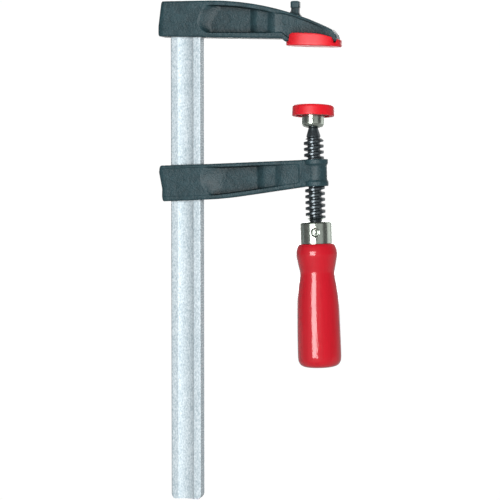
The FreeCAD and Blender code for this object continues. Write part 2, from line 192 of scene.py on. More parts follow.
# One object from closed shells in millimetres, each turned to face outwards.
def makePiece(name, shells, material, body, replaced, sharp=40):
    verts, faces, start = [], [], 0
    for shellVerts, shellFaces in shells:
        if signedVolume(shellVerts, shellFaces) < 0:
            shellFaces = [face[::-1] for face in shellFaces]
        verts.append(shellVerts)
        faces += [[i + start for i in face] for face in shellFaces]
        start += len(shellVerts)
    mesh = bpy.data.meshes.new(name)
    mesh.from_pydata((np.concatenate(verts) * mm).tolist(), [], faces)
    mesh.polygons.foreach_set("use_smooth", np.ones(len(mesh.polygons), bool))
    mesh.set_sharp_from_angle(angle=math.radians(sharp))
    mesh.materials.append(material)
    piece = bpy.data.objects.new(name, mesh)
    bpy.context.scene.collection.objects.link(piece)
    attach(piece, body)
    if replaced:
        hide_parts(replaced)
    print(name, len(mesh.vertices), "vertices")
    return piece


def turnedGrid(profile, sides=96):  # a profile of radius and height carried round Z
    a = np.linspace(0, 2 * math.pi, sides, endpoint=False)
    r, z = profile[:, :1], profile[:, 1:]
    return np.stack([r * np.cos(a), r * np.sin(a), np.broadcast_to(z, (len(profile), sides))], -1)


screwUp = np.array(joints["spindle_turn"]["axis"])  # the screw's axis, cocked with the sliding arm
cock = math.atan2(-screwUp[0], screwUp[2])
ballCentre = np.array(joints["pad_tilt"]["pos_m"]) / mm
ballHeight = -np.linalg.norm(ballCentre)
mounts = {m["name"]: m for m in frame["record"]["mounts"]}
padUp = np.array(mounts["pad_face"]["axis"])
jawDown = np.array(mounts["fixed_jaw"]["axis"])
lean = math.atan2(-jawDown[0], -jawDown[2])


def turnedAboutY(verts, angle):  # x and z turned about the Y axis, +X towards +Z
    x, y, z = verts[..., 0], verts[..., 1], verts[..., 2]
    c, s = math.cos(angle), math.sin(angle)
    return np.stack([x * c - z * s, y, x * s + z * c], -1)


def onScrew(shell):
    return turnedAboutY(shell[0], cock), shell[1]


def onJaw(shell):
    return turnedAboutY(shell[0], -lean), shell[1]


def onPad(shell):  # tipped about X and set on the ball
    tip = math.atan2(padUp[1], padUp[2])
    x, y, z = shell[0][..., 0], shell[0][..., 1], shell[0][..., 2]
    turned = np.stack([x, y * math.cos(tip) + z * math.sin(tip), z * math.cos(tip) - y * math.sin(tip)], -1)
    return turned + ballCentre, shell[1]


def powderCoat():  # cast iron under blue-grey epoxy powder: satin, with the casting's grain showing through
    material, tree, place = newMaterial("powderCoatOnCastIron")
    grain = addNode(tree, "TexNoise", {"Scale": 900.0, "Detail": 3.0, "Roughness": 0.6}, {"Vector": place})
    swell = addNode(tree, "TexNoise", {"Scale": 110.0, "Detail": 4.0, "Roughness": 0.55}, {"Vector": place})
    both = addNode(tree, "Math", {"operation": "ADD"}, {0: swell.outputs["Fac"], 1: grain.outputs["Fac"]})
    mottle = addNode(tree, "MapRange", {"From Min": 0.75, "From Max": 1.25}, {"Value": both.outputs[0]})
    tone = addNode(tree, "Mix", {"data_type": "RGBA", 6: hexColour("1d353b"), 7: hexColour("2f4b52")},
                   {0: mottle.outputs["Result"]})
    # painted shade: ambient occlusion darkens the recesses towards near-black, standing in for their shade
    hollow = addNode(tree, "AmbientOcclusion", {"samples": 8, "Distance": 0.014})
    recessShade = addNode(tree, "MapRange", {"From Min": 0.6, "From Max": 0.97, "To Min": 0.2, "To Max": 1.0},
                    {"Value": hollow.outputs["AO"]})    # painted shade: recesses are drawn darker than open faces
    shadedTone = addNode(tree, "Mix", {"data_type": "RGBA", 6: hexColour("05090a")},
                     {0: recessShade.outputs["Result"], 7: tone.outputs[2]})
    fine = addNode(tree, "Bump", {"Strength": 0.8, "Distance": 0.0004}, {"Height": grain.outputs["Fac"]})
    coarse = addNode(tree, "Bump", {"Strength": 0.6, "Distance": 0.001},
                     {"Height": swell.outputs["Fac"], "Normal": fine.outputs["Normal"]})
    gloss = addNode(tree, "MapRange", {"To Min": 0.4, "To Max": 0.55}, {"Value": grain.outputs["Fac"]})
    shader = addNode(tree, "BsdfPrincipled", {"IOR": 1.45},
                     {"Base Color": shadedTone.outputs[2], "Roughness": gloss.outputs["Result"],
                      "Normal": coarse.outputs["Normal"]})
    finishMaterial(tree, shader)
    return material


# Zinc-plated steel bar: pale with a fine speckle, and painted shade on the faces turned to the side. It is
# shaded nearly as a paint, which is a choice of look: real plating is fully metallic.
def galvanised():
    material, tree, place = newMaterial("zincPlatedSteel")
    stretch = addNode(tree, "Mapping", {"Scale": (1.0, 1.0, 0.55)}, {"Vector": place})
    speckle = addNode(tree, "TexNoise", {"Scale": 1150.0, "Detail": 2.0, "Roughness": 0.7},
                      {"Vector": stretch.outputs["Vector"]})
    cloud = addNode(tree, "TexNoise", {"Scale": 90.0, "Detail": 3.0}, {"Vector": place})
    mixed = addNode(tree, "Math", {"operation": "MULTIPLY_ADD", 1: 0.18},
                    {0: cloud.outputs["Fac"], 2: speckle.outputs["Fac"]})
    ramp = addNode(tree, "MapRange", {"From Min": 0.38, "From Max": 0.8}, {"Value": mixed.outputs[0]})
    tone = addNode(tree, "Mix", {"data_type": "RGBA", 6: hexColour("a3b6bf"), 7: hexColour("e4eef3")},
                   {0: ramp.outputs["Result"]})
    facing = addNode(tree, "NewGeometry")
    sideways = addNode(tree, "SeparateXYZ", links={"Vector": facing.outputs["Normal"]})
    turned = addNode(tree, "Math", {"operation": "ABSOLUTE"}, {0: sideways.outputs["X"]})
    edge = addNode(tree, "MapRange", {"From Min": 0.4, "From Max": 0.9, "To Min": 1.0, "To Max": 0.5},
                   {"Value": turned.outputs[0]})    # painted shade: faces turned to the side are drawn darker
    sideShadedTone = addNode(tree, "Mix", {"data_type": "RGBA", "blend_type": "MULTIPLY", 0: 1.0},
                     {6: tone.outputs[2], 7: edge.outputs["Result"]})
    bump = addNode(tree, "Bump", {"Strength": 0.25, "Distance": 0.0002}, {"Height": speckle.outputs["Fac"]})
    shader = addNode(tree, "BsdfPrincipled", {"Metallic": 0.05, "Roughness": 0.6, "Specular IOR Level": 0.3},
                     {"Base Color": sideShadedTone.outputs[2], "Normal": bump.outputs["Normal"]})
    finishMaterial(tree, shader)
    return material


def blackOxide():  # rolled steel thread, blackened and oiled: dark with tight highlights
    material, tree, place = newMaterial("blackOxideSteel")
    wear = addNode(tree, "TexNoise", {"Scale": 700.0, "Detail": 3.0}, {"Vector": place})
    tone = addNode(tree, "Mix", {"data_type": "RGBA", 6: hexColour("343c40"), 7: hexColour("525b60")},
                   {0: wear.outputs["Fac"]})
    gloss = addNode(tree, "MapRange", {"To Min": 0.24, "To Max": 0.36}, {"Value": wear.outputs["Fac"]})
    shader = addNode(tree, "BsdfPrincipled", {"Metallic": 0.7, "Coat Weight": 0.4, "Coat Roughness": 0.12},
                     {"Base Color": tone.outputs[2], "Roughness": gloss.outputs["Result"]})
    finishMaterial(tree, shader)
    return material


def nickelPlate():  # turned steel, nickel plated: bright, with faint lathe rings
    material, tree, place = newMaterial("nickelPlatedSteel")
    rings = addNode(tree, "TexWave", {"bands_direction": "Z", "Scale": 900.0, "Distortion": 1.0, "Detail": 2.0},
                    {"Vector": place})
    haze = addNode(tree, "TexNoise", {"Scale": 350.0, "Detail": 3.0}, {"Vector": place})
    gloss = addNode(tree, "MapRange", {"To Min": 0.18, "To Max": 0.28}, {"Value": haze.outputs["Fac"]})
    bump = addNode(tree, "Bump", {"Strength": 0.05, "Distance": 0.0001}, {"Height": rings.outputs["Fac"]})
    tone = addNode(tree, "Mix", {"data_type": "RGBA", 6: hexColour("aab4aa"), 7: hexColour("c6cfc4")},
                   {0: haze.outputs["Fac"]})
    shader = addNode(tree, "BsdfPrincipled", {"Metallic": 1.0},
                     {"Base Color": tone.outputs[2], "Roughness": gloss.outputs["Result"],
                      "Normal": bump.outputs["Normal"]})
    finishMaterial(tree, shader)
    return material


def redPlastic():  # moulded polyethylene cap: bright red, soft gloss, a little light through it
    material, tree, place = newMaterial("mouldedRedPlastic")
    texture = addNode(tree, "TexNoise", {"Scale": 650.0, "Detail": 2.0}, {"Vector": place})
    tone = addNode(tree, "Mix", {"data_type": "RGBA", 6: hexColour("dd1322"), 7: hexColour("ea1c2c")},
                   {0: texture.outputs["Fac"]})
    gloss = addNode(tree, "MapRange", {"To Min": 0.36, "To Max": 0.5}, {"Value": texture.outputs["Fac"]})
    bump = addNode(tree, "Bump", {"Strength": 0.12, "Distance": 0.0002}, {"Height": texture.outputs["Fac"]})
    shader = addNode(tree, "BsdfPrincipled",
                     {"IOR": 1.5, "Subsurface Weight": 0.12, "Subsurface Radius": (1.0, 0.2, 0.1),
                      "Subsurface Scale": 0.002},
                     {"Base Color": tone.outputs[2], "Roughness": gloss.outputs["Result"],
                      "Normal": bump.outputs["Normal"]})
    finishMaterial(tree, shader)
    return material


def redVarnish():  # turned beech under red varnish: deep red, clear gloss, long faint grain
    material, tree, place = newMaterial("varnishedBeech")
    stretch = addNode(tree, "Mapping", {"Scale": (1.0, 1.0, 0.06)}, {"Vector": place})
    grain = addNode(tree, "TexNoise", {"Scale": 900.0, "Detail": 4.0, "Roughness": 0.6},
                    {"Vector": stretch.outputs["Vector"]})
    tone = addNode(tree, "Mix", {"data_type": "RGBA", 6: hexColour("bd0d1f"), 7: hexColour("d31529")},
                   {0: grain.outputs["Fac"]})
    drag = addNode(tree, "Mapping", {"Scale": (1.0, 1.0, 0.45)}, {"Vector": place})
    ripple = addNode(tree, "TexNoise", {"Scale": 620.0, "Detail": 2.0, "Roughness": 0.6},
                     {"Vector": drag.outputs["Vector"]})
    pits = addNode(tree, "MapRange", {"From Min": 0.42, "From Max": 0.6}, {"Value": ripple.outputs["Fac"]})
    bump = addNode(tree, "Bump", {"Strength": 0.1, "Distance": 0.0002}, {"Height": grain.outputs["Fac"]})
    brushed = addNode(tree, "Bump", {"Strength": 0.12, "Distance": 0.0002},
                      {"Height": pits.outputs["Result"], "Normal": bump.outputs["Normal"]})
    shader = addNode(tree, "BsdfPrincipled",
                     {"IOR": 1.5, "Specular IOR Level": 0.2, "Roughness": 0.5,
                      "Coat Weight": 0.9, "Coat Roughness": 0.06, "Coat IOR": 1.5},
                     {"Base Color": tone.outputs[2], "Normal": bump.outputs["Normal"],
                      "Coat Normal": brushed.outputs["Normal"]})
    finishMaterial(tree, shader)
    return material


def springSteel():  # oil-tempered wire, dark and satin
    material, tree, place = newMaterial("oilTemperedSteel")
    haze = addNode(tree, "TexNoise", {"Scale": 1200.0, "Detail": 2.0}, {"Vector": place})
    gloss = addNode(tree, "MapRange", {"To Min": 0.28, "To Max": 0.45}, {"Value": haze.outputs["Fac"]})
    shader = addNode(tree, "BsdfPrincipled", {"Base Color": hexColour("5b5f63"), "Metallic": 1.0},
                     {"Roughness": gloss.outputs["Result"]})
    finishMaterial(tree, shader)
    return material


powder = powderCoat()
zinc = galvanised()
oxide = blackOxide()
nickel = nickelPlate()
capRed = redPlastic()
varnish = redVarnish()
spring = springSteel()
print("materials made")


rail = {
    "x": -90.4, "width": 22.0, "thick": 11.0, "top": 32.85, "bottom": -325.5,
    "hollowWidth": 11.8, "hollowDepth": 1.5,   # ground along each wide face
    "corner": 0.9, "endChamfer": 1.8,
    "toothPitch": 2.0, "toothDepth": 0.35,     # serrations across the narrow edges
}


# Bar's section carried down its length: straight lands, a circular hollow on each face, rounded corners,
# and edges that dip by the tooth depth at every second row.
def railShell(c):
    w, t, r = c["width"] / 2, c["thick"] / 2, c["corner"]
    g, d = c["hollowWidth"] / 2, c["hollowDepth"]
    big = (g * g + d * d) / (2 * d)
    half = math.degrees(math.asin(g / big))
    hollow = arc(0, -t + d - big, big, 90 + half, 90 - half, 15)
    corner = arc(w - r, -(t - r), r, -90, 0, 5)
    side = np.array([[w, -(t - r) * k] for k in (0.96, 0.5, 0.0)])
    landOut = np.array([[g + 0.05, -t], [(g + w - r) / 2, -t]])
    quarter = np.concatenate([landOut, corner, side[:2]])
    right = np.concatenate([quarter, side[2:], quarter[::-1] * [1, -1]])
    section = np.concatenate([hollow, right, hollow * [-1, -1], right * [-1, -1]])
    onEdge = (np.abs(np.abs(section[:, 0]) - w) < 1e-6)[None]
    rows = np.arange(c["bottom"] + c["endChamfer"] + 1.2, 12.0, c["toothPitch"] / 2)
    end = c["bottom"] + np.array([0, 0.05, 0.9, 1.8])
    z = np.concatenate([end, rows, [14.0, c["top"]]])[:, None]
    odd = (np.arange(len(z)) % 2)[:, None] * ((z > rows[0]) & (z < rows[-1]))
    x = section[:, 0][None] - np.sign(section[:, 0])[None] * c["toothDepth"] * odd * onEdge
    cut = np.clip(c["endChamfer"] - (z - c["bottom"]) * 0.75, 0, None)   # the end's corners slope in
    limit = w - cut
    x = np.clip(x, -limit, limit) + c["x"]
    y = np.broadcast_to(section[:, 1][None], x.shape)
    return skinOf(np.stack([x, y, np.broadcast_to(z, x.shape)], -1))


railPiece = makePiece("railBar", [railShell(rail)], zinc, "root", "rail", sharp=25)


# Loft along the arm. Each station is a rounded oblong from bottom(x) to top(x), half(x) thick. Inside the
# lines low(x) and high(x) the faces sink by the floor's depth, with a soft draft across the wall's width.
# The hole for the rail is left out of the top and bottom, and joined by walls.
def castingShell(c):
    x = c["stations"]
    top, bottom, half = c["top"](x)[:, None], c["bottom"](x)[:, None], c["half"](x)[:, None]
    r = np.minimum(c["round"], (top - bottom) * 0.4)
    wall = np.minimum(c["wall"], (top - bottom - 2 * r) * 0.2)
    low = np.clip(c["low"](x)[:, None], bottom + r + wall * 0.6, top - r - 3 * wall)
    high = np.clip(c["high"](x)[:, None], low + 1.5 * wall, top - r - wall * 0.6)
    a, b, m = [np.linspace(0, 1, n)[None, :-1] for n in (4, 8, 27)]    # rows on flange, wall and floor
    faceZ = np.concatenate([
        bottom + r + (low - wall / 2 - bottom - r) * a, low - wall / 2 + wall * b,
        low + wall / 2 + (high - low - wall) * m, high - wall / 2 + wall * b,
        high + wall / 2 + (top - r - high - wall / 2) * a, top - r], 1)
    sunk = np.concatenate([0 * a, smooth(b), 1 + 0 * m, 1 - smooth(b), 0 * a, [[0]]], 1)
    t = np.clip((faceZ - low) / (high - low), 0, 1)
    faceY = half - c["depth"](x[:, None], t, half) * sunk
    bend = np.radians(np.linspace(0, 90, 6))[None, 1:]
    cornerY = half - r + r * np.cos(bend)
    cornerZ = top - r + r * np.sin(bend)
    lane = np.array([[c["slotY"], c["slotY"] * 0.5, 0.0]])
    laneY = np.broadcast_to(lane, (len(x), 3))
    sideY = np.concatenate([cornerY, laneY], 1)
    sideZ = np.concatenate([cornerZ, np.broadcast_to(top, laneY.shape)], 1)
    lowZ = bottom + top - sideZ
    y = np.concatenate([-sideY[:, ::-1], -faceY, -sideY,
                        sideY[:, ::-1][:, 1:], faceY[:, ::-1], sideY[:, :-1]], 1)
    z = np.concatenate([lowZ[:, ::-1], faceZ, sideZ, sideZ[:, ::-1][:, 1:], faceZ[:, ::-1], lowZ[:, :-1]], 1)
    cols = y.shape[1]
    # end caps: rows that round in, then shrink to the middle
    bendIn = np.radians(np.array([90, 72, 54, 36, 18]))

    def capRows(row, away):
        yy, zz = y[row], z[row]
        mid = (top[row] + bottom[row]) / 2
        tall = (top[row] - bottom[row]) / 2
        rows = []
        for angle in bendIn:
            pull = r[row] * (1 - math.cos(angle))
            rows.append((x[row] + away * r[row] * math.sin(angle), yy * (1 - pull / half[row]),
                         mid + (zz - mid) * (1 - pull / tall)))
        edge = rows[0]
        for s in (0.85, 0.6, 0.35, 0.12):
            rows.insert(0, (edge[0], edge[1] * s, mid + (edge[2] - mid) * s))
        return rows

    start = capRows(0, -1)
    end = capRows(-1, 1)[::-1]
    allRows = start + [(x[i], y[i], z[i]) for i in range(len(x))] + end
    u = np.array([np.ravel(row[0])[0] for row in allRows])[:, None]
    gy = np.stack([row[1] for row in allRows])
    gz = np.stack([row[2] for row in allRows])
    gx = u + c["skew"](u, gy, gz)
    grid = np.stack([gx, gy, gz], -1)
    offset = len(start)
    if not c.get("slotX"):
        return skinOf(grid)
    i0 = offset + int(np.argmin(np.abs(x - c["slotX"][0])))
    i1 = offset + int(np.argmin(np.abs(x - c["slotX"][1])))
    nSide = sideY.shape[1]
    nFace = faceZ.shape[1]
    topMid = nSide + nFace + nSide - 1
    topLane = (topMid - 2, topMid + 2)

    def hole(faces):
        row = faces[:, 0] // cols
        col = faces[:, 0] % cols
        inTop = (col >= topLane[0]) & (col < topLane[1])
        inLow = (col < 2) | (col >= cols - 2)
        return (row >= i0) & (row < i1) & (inTop | inLow)

    verts, faces = skinOf(grid, hole=hole)
    topCols = np.arange(topLane[0], topLane[1] + 1)
    lowCols = np.array([2, 1, 0, cols - 1, cols - 2])
    rowsIn = np.arange(i0, i1 + 1)

    def rim(columns):  # boundary loop of the hole, once round
        return np.concatenate([rowsIn[:-1] * cols + columns[0], i1 * cols + columns[:-1],
                               rowsIn[::-1][:-1] * cols + columns[-1], i0 * cols + columns[::-1][:-1]])

    upper, lower = rim(topCols), rim(lowCols)
    centre = np.array([(c["slotX"][0] + c["slotX"][1]) / 2, 0, 0])
    halfSlot = (c["slotX"][1] - c["slotX"][0]) / 2
    shrink = np.array([1 - c["slotChamfer"] / halfSlot, 1 - c["slotChamfer"] / c["slotY"], 1])
    inner = []
    for loop, sign in ((upper, -1), (lower, 1)):
        ring = (verts[loop] - centre) * shrink + centre
        ring[:, 2] += sign * c["slotChamfer"]
        inner.append(ring)
    n = len(verts)
    count = len(upper)
    verts = np.concatenate([verts, inner[0], inner[1]])
    chain = [upper, n + np.arange(count), n + count + np.arange(count), lower]
    for p, q in zip(chain, chain[1:]):
        faces += np.stack([p, q, np.roll(q, -1), np.roll(p, -1)], 1).tolist()
    return verts, faces


def stations(marks, step):  # even steps that also hit every mark
    counts = [max(2, math.ceil((b - a) / step) + 1) for a, b in zip(marks, marks[1:])]
    parts = [np.linspace(a, b, n)[:-1] for a, b, n in zip(marks, marks[1:], counts)]
    return np.concatenate(parts + [[marks[-1]]])


def alongCurve(t, points):  # a smooth curve through a few (t, value) points
    curve = throughPoints(points, 60)
    return np.interp(t, curve[:, 0], curve[:, 1])


# Floor of the recess: dives from the scoop's bent edge to the web, quickly at first, then climbs in steps shaped
# as a quarter of a sine. A small sink on the socket's side of the scoop leaves a raised band below and above it.
def recessDepth(c, x, t, half):
    outer, inner = alongCurve(t, c["scoopOuter"]), alongCurve(t, c["scoopInner"])
    dive = np.clip((x - outer) / (inner - outer + 3.0), 0, 1)
    dive = dive * (1.35 - 0.35 * dive ** 2)
    climbs = [rise * np.sin(math.pi / 2 * np.clip((x - a) / (b - a), 0, 1)) for a, b, rise in c["steps"]]
    web = c["web"] + sum(climbs)
    return np.maximum(c["socketSink"] + (half - web - c["socketSink"]) * dive, 0)


def taper(x, start, end, a, b):
    return a + (b - a) * np.clip((x - start) / (end - start), 0, 1)


fixedArm = {
    "back": -109.8, "backTop": -107.5, "top": 33.0, "under": 8.0,
    "spineRadius": 198.0, "spineStart": -74.0,     # one long arc runs down the back to the nose
    "nose": 19.7, "noseRound": 4.3, "heel": -19.8, "keelZ": 3.2,
    "thick": 9.5, "tipThick": 8.3, "round": 1.4, "wall": 1.0, "web": 5.0,
    "flange": 3.6, "lowLine": 10.6, "socketSink": 0.0, "backRound": 4.6, "backPull": 1.9,
    "scoopOuter": [(0, -74.8), (0.14, -78.5), (0.3, -79.9), (0.53, -79.8), (0.8, -77.4), (1, -74.4)],
    "scoopInner": [(0, -73.8), (0.3, -74.5), (0.6, -71.5), (1, -66.5)],
    "steps": [(-42.6, -37.2, 1.9), (-29.8, -24.2, 1.5), (-24.0, -18.0, -0.8)],
    "slotClear": 0.05, "slotChamfer": 0.7,
}


def backPull(c, x):  # the socket's faces round in towards the back: quarter ellipse
    s = np.clip((c["back"] + c["backRound"] - x) / c["backRound"], 0, 1)
    return c["backPull"] * (1 - np.sqrt(1 - s ** 2 * 0.98))


def fixedTop(x):
    f = fixedArm
    run = np.clip(x - f["spineStart"], 0, None)
    z = f["top"] - f["spineRadius"] + np.sqrt(f["spineRadius"] ** 2 - run ** 2)
    into = np.clip((x - f["nose"] + f["noseRound"]) / f["noseRound"], 0, 1)
    return f["keelZ"] + (z - f["keelZ"]) * np.sqrt(1 - into ** 2 * 0.995)


def fixedBottom(x):
    f = fixedArm
    z = f["under"] - (x - f["back"]) * math.tan(lean - math.radians(0.3))
    return np.maximum(z - np.clip(x - f["heel"], 0, None) * 0.85, f["keelZ"])


def fixedArmShell():
    f = fixedArm
    reach = rail["width"] / 2 + f["slotClear"] + f["slotChamfer"]
    slotX = [rail["x"] - reach, rail["x"] + reach]
    noseX = f["nose"] - f["noseRound"] + f["noseRound"] * np.sin(np.radians(np.arange(6, 90, 6)))
    marks = [f["back"] + f["round"], slotX[0], slotX[1], -60.0, -42.0, -18.0, f["nose"] - f["noseRound"]]
    x = np.concatenate([stations(marks, 0.55), noseX])
    c = dict(f)
    c["stations"] = x
    c["top"], c["bottom"] = fixedTop, fixedBottom
    c["half"] = lambda x: taper(x, -78.0, 4.0, f["thick"], f["tipThick"]) - backPull(f, x)
    c["low"] = lambda x: f["lowLine"] - (x + 80) * 0.017 - 0.75 * np.clip(x + 19.6, 0, None)
    c["high"] = lambda x: fixedTop(x) - f["flange"] + (f["flange"] - 1.0) * smooth((x + 27) / 16)
    c["depth"] = lambda x, t, half: recessDepth(f, x, t, half) * (1 - smooth((x - 2) / 12))

    def skew(u, y, z):  # the back end slopes forward above its foot
        slope = (f["backTop"] - f["back"]) * np.clip((z - 15.2) / (f["top"] - 15.2), 0, 1)
        return slope * (1 - smooth((u - f["back"]) / 6.0))

    c["skew"] = skew
    c["slotX"] = slotX
    c["slotY"] = rail["thick"] / 2 + f["slotClear"] + f["slotChamfer"]
    return castingShell(c)


def ovalRing(halfX, halfY, power, sides=200):  # superellipse |x/a|^n + |y/b|^n = 1
    a = np.linspace(0, 2 * math.pi, sides, endpoint=False)
    waves = np.stack([np.cos(a), np.sin(a)], 1)
    return np.sign(waves) * np.abs(waves) ** (2 / power) * [halfX, halfY]


# Rounded blocks: a superellipse ring at each level of centre x, half length, half width and height.
def stackShell(levels, power=5, sides=64):
    rings = []
    for cx, hx, hy, z in levels:
        ring = ovalRing(hx, hy, power, sides)
        rings.append(np.stack([ring[:, 0] + cx, ring[:, 1], np.full(sides, z)], 1))
    return skinOf(np.array(rings))


jawCap = {
    "x": 2.2, "halfLength": 19.7, "halfWidth": 13.0, "power": 2.7,
    "wall": 2.2, "face": 2.6, "edge": 0.9,
    "throat": 8.9, "throatHeight": 3.4,            # open heel that the arm passes through
    "hookX": (16.6, 20.2), "hookHeight": 2.3,      # slot for the arm's hooked nose
    "rim": [(-18.5, 5.4), (-16.6, 6.6), (-13.6, 8.2), (-10.5, 8.7), (-2, 8.7),
            (6, 8.4), (11, 7.7), (15, 6.7), (19, 5.4), (23, 4.7)],    # height of the rim along x
}


def footShell():  # the casting's foot, which fills the cap
    c = jawCap
    levels = []
    for inset, z in ((9.0, 2.75), (2.4, 2.75), (2.35, 3.2), (2.35, 5.9), (2.6, 6.3), (3.0, 6.4), (9.0, 6.4)):
        levels.append((c["x"] - 1.3, c["halfLength"] - inset - 1.3, c["halfWidth"] - inset, z))
    return stackShell(levels, c["power"], 160)


def hookShell():
    hx, hy = 1.4, 8.25
    levels = [(18.35, hx - 0.7, hy - 0.7, 2.8), (18.35, hx - 0.2, hy - 0.2, 3.0), (18.35, hx, hy, 3.5),
              (18.3, hx, hy, 6.0), (17.6, hx, hy, 8.0)]
    return stackShell(levels, 5, 48)


lug = {"x": -11.2, "top": 32.0, "head": (3.1, 3.8), "headHeight": 5.0, "neck": (2.7, 3.2)}


# Square-headed lug: its neck flares into the arm's back on the left, and fillets into it on the right.
def lugShell():
    x, topZ = lug["x"], lug["top"]
    hx, hy = lug["head"]
    nx, ny = lug["neck"]
    under = topZ - lug["headHeight"]
    flare = [(5.6, 4.6, 4.6, 19.6), (5.4, 4.4, 4.4, 21.2), (4.6, 3.2, 3.8, 22.8), (3.6, 2.8, 3.4, 24.0)]
    neck = [(2.8, nx, ny, 25.2), (nx, nx, ny, 26.4), (nx, nx, ny, under - 0.1),
            (nx + 0.1, nx + 0.1, ny + 0.2, under)]
    edges = ((0.15, under + 0.15), (0, under + 0.7), (0, topZ - 1.0), (0.2, topZ - 0.4), (0.6, topZ - 0.1),
             (1.1, topZ))
    head = [(hx - inset, hx - inset, hy - inset, z) for inset, z in edges]
    levels = [(x + (right - left) / 2, (left + right) / 2, deep, z)
              for left, right, deep, z in flare + neck + head]
    return stackShell(levels, 6, 56)


makePiece("fixedArmCasting", [fixedArmShell(), onJaw(footShell()), hookShell(), lugShell()], powder, "root",
          "fixed_arm")

slidingArm = {
    "back": -112.4, "top": -81.0, "rise": 0.012, "low": -106.9, "end": -2.2,
    "bend": -66.0, "bendSoft": 4.0, "slope": 6.7, "socketRise": 0.6,    # the underside
    "thick": 9.5, "tipThick": 8.3, "round": 1.4, "wall": 1.0, "web": 5.0, "flange": 2.9,
    "backRound": 4.6, "backPull": 1.9, "wrap": 8.3, "wrapStart": -9.0,    # the end wraps the boss
    "socketSink": 0.28, "socketLine": 3.2, "socketTop": 2.2,
    "scoopOuter": [(0, -75.5), (0.2, -78.2), (0.42, -80.75), (0.68, -81.3), (1, -77.6)],
    "scoopInner": [(0, -72.5), (0.25, -69.3), (0.55, -69.3), (0.8, -66.5), (1, -63.5)],
    "steps": [(-40.4, -34.0, 1.9), (-27.0, -20.6, 1.1), (-10.0, -6.5, 1.2)],
    "slotX": (-105.05, -81.55), "slotHalf": 5.9, "slotChamfer": 0.5,
    "waist": [1.5, 1.0, 1.3, -0.8, 0.1],    # how far the back stands in, from the underside up
}


def slideTop(x):
    return slidingArm["top"] + (x + 82.0).clip(0) * slidingArm["rise"]


def slideBottom(x):
    s = slidingArm
    past = np.logaddexp(0, (x - s["bend"]) / s["bendSoft"]) * s["bendSoft"]    # 0, a soft bend, then x - bend
    socket = s["low"] + s["socketRise"] * (x - s["back"]) / (s["bend"] - s["back"])
    return socket + past * (math.tan(math.radians(s["slope"])) - 0.013)    # 0.013 is the socket's own slope


def slidingArmShell():
    s = slidingArm
    slotX = [s["slotX"][0] - s["slotChamfer"], s["slotX"][1] + s["slotChamfer"]]
    marks = [s["back"] + s["round"] + 0.9, slotX[0], slotX[1], -60.0, -40.0, -20.0, s["end"] - s["round"]]
    c = dict(s)
    c["stations"] = stations(marks, 0.55)
    c["top"], c["bottom"] = slideTop, slideBottom
    swell = lambda x: 0.5 * smooth((x + 9) / 6)    # thicker beside the boss
    c["half"] = lambda x: taper(x, -82.0, -10.0, s["thick"], s["tipThick"]) + swell(x) - backPull(s, x)
    c["low"] = lambda x: slideBottom(x) + s["socketLine"] + 0.2 * smooth((x + 72) / 10)
    flange = lambda x: s["socketTop"] + (s["flange"] - s["socketTop"]) * smooth((x + 76) / 12)
    c["high"] = lambda x: slideTop(x) - flange(x)
    c["depth"] = lambda x, t, half: recessDepth(s, x, t, half)

    def skew(u, y, z):  # the back is waisted; the far end wraps the boss
        levels = [s["low"], s["low"] + 4.4, s["low"] + 9, s["low"] + 21, s["top"]]
        waist = np.interp(z, levels, s["waist"])
        back = waist * (1 - smooth((u - s["back"]) / 6.0))
        wrap = -np.sqrt(np.clip(s["wrap"] ** 2 - y ** 2, 0.5, None)) - s["end"] + 1.2
        return back + wrap * smooth((u - s["wrapStart"]) / (s["end"] - s["wrapStart"])) * (u > s["wrapStart"])

    c["skew"] = skew
    c["slotX"] = slotX
    c["slotY"] = s["slotHalf"] + s["slotChamfer"]
    return castingShell(c)


screw = {
    "pitch": 4.2, "crest": 7.1, "root": 4.5, "ridgeBase": 1.5, "ridgeTop": 0.8, "clear": 0.2,
    "phase": -125.4, "threadLow": -123.0, "threadHigh": -64.6,
    "ball": 4.6, "neck": 3.1, "cone": 5.1, "coneEnd": -63.7, "tang": 4.2, "tangEnd": -186.0,
}


# Right-hand rolled thread: the ridge's middle climbs one pitch a turn; its flanks are smooth curves.
def ridgeHeight(angle, z, spread=0.0):
    p = screw["pitch"]
    phase = (z - screw["phase"]) / p - angle / (2 * math.pi)
    off = np.abs(phase - np.round(phase)) * p
    return smooth((screw["ridgeBase"] + spread - off) / (screw["ridgeBase"] - screw["ridgeTop"]))


boss = {"top": -79.9, "bottom": -99.1, "waist": 8.9, "rim": 9.8, "rimHeight": 3.1, "rise": 1.5, "round": 0.8,
        "bore": 5.4}


# Turned outside with a rim at each end, and inside it the thread's own groove with its clearance.
def bossShell():
    b = boss
    mouth, low, high = b["bore"] + 1.0, b["bottom"] + b["rimHeight"], b["top"] - b["rimHeight"]
    outside = rounded([(mouth, b["bottom"]), (b["rim"], b["bottom"]), (b["rim"], low),
                       (b["waist"], low + b["rise"]), (b["waist"], high - b["rise"]),
                       (b["rim"], high), (b["rim"], b["top"]), (mouth, b["top"])],
                      [b["round"], 1.2, 2.0, 2.0, 1.2, b["round"]])
    outside = evenly(outside, 0.8)
    sides = 96
    outer = turnedGrid(outside, sides)
    a = np.linspace(0, 2 * math.pi, sides, endpoint=False)[None]
    z = np.linspace(b["top"], b["bottom"], 90)[1:-1, None]
    r = b["bore"] + (screw["crest"] + screw["clear"] - b["bore"]) * ridgeHeight(a, z, screw["clear"])
    inner = np.stack([r * np.cos(a), r * np.sin(a), np.broadcast_to(z, r.shape)], -1)
    return skinOf(np.concatenate([outer, inner]), wrapRows=True)


makePiece("slidingArmCasting", [onScrew(slidingArmShell()), onScrew(bossShell())], powder, "slider",
          "sliding_arm")
print("castings made")


